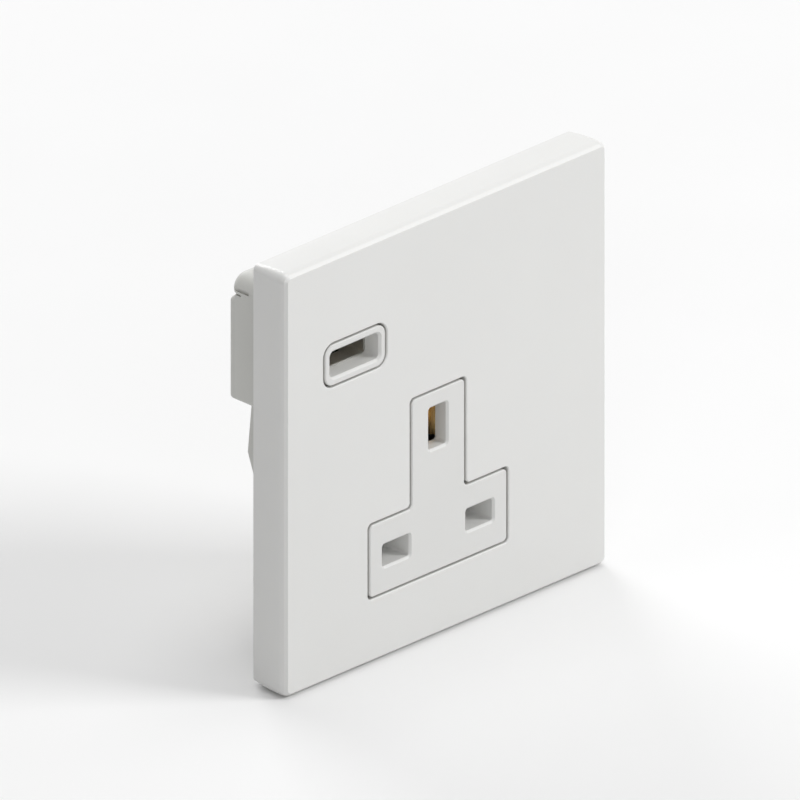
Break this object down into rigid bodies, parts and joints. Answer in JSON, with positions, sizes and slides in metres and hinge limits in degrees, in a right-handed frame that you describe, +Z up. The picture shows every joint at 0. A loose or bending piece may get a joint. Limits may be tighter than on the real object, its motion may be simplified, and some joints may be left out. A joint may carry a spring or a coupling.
{
  "type": "usb wall socket",
  "caption": "Single wall socket for flat three-pin mains plugs, with a T-shaped socket face, a USB charging port and a sprung safety shutter, on a screwless cover plate.",
  "frame": {"origin": "midway between the two box fixing holes, on the wall plane (the back of the mounting frame)", "axes": "+X right and +Z up as seen from the room, +Y into the wall; the front faces -Y"},
  "size_m": [0.086, 0.0255, 0.088],
  "materials": {
    "cover_plastic": "smooth gloss moulding",
    "face_plastic": "smooth satin moulding",
    "frame_plastic": "fine textured moulding",
    "tub_plastic": "fine textured moulding",
    "lid_plastic": "fine textured moulding",
    "shutter_plastic": "smooth moulding",
    "spring_steel": "drawn wire",
    "contact_brass": "bright rolled strip",
    "terminal_brass": "machined",
    "terminal_screw_brass": "turned",
    "screw_steel": "zinc plated",
    "shell_steel": "nickel plated sheet",
    "insulator_plastic": "smooth moulding",
    "gold_plate": "gold plated strip",
    "board_laminate": "solder-resist green",
    "ferrite": "matt sintered",
    "bobbin_plastic": "moulded",
    "winding_tape": "polyester tape",
    "can_sleeve": "sleeved can",
    "chip_plastic": "moulded epoxy",
    "fuse_ceramic": "coated",
    "link_brass": "tinned strip"
  },
  "bodies": {
    "socket": {"front_plate": "cover_plastic", "mounting_frame": "frame_plastic", "front_housing": "face_plastic", "rear_housing": "tub_plastic", "charger_housing": "tub_plastic", "charger_cover": "lid_plastic", "shutter_spring": "spring_steel", "earth_contact": "contact_brass", "line_contact": "contact_brass", "neutral_contact": "contact_brass", "earth_terminal": "terminal_brass", "line_terminal": "terminal_brass", "neutral_terminal": "terminal_brass", "terminal_screws": "terminal_screw_brass", "housing_screws": "screw_steel", "usb_shell": "shell_steel", "usb_insulator": "insulator_plastic", "usb_contacts": "gold_plate", "charger_board": "board_laminate", "transformer_cores": "ferrite", "transformer_bobbin": "bobbin_plastic", "transformer_winding": "winding_tape", "mains_capacitors": "can_sleeve", "output_capacitor": "can_sleeve", "filter_choke": "ferrite", "rectifier": "chip_plastic", "controller_chip": "chip_plastic", "input_fuse": "fuse_ceramic", "supply_links": "link_brass"},
    "shutter": {"shutter": "shutter_plastic"}
  },
  "joints": [
    {"name": "shutter_slide", "type": "slide", "parent": "socket", "child": "shutter", "axis": [0, 0, -1], "range_m": [0, 0.0056], "stiffness_N_per_m": 60, "springref_m": -0.004, "deforming": ["shutter_spring"]}
  ]
}
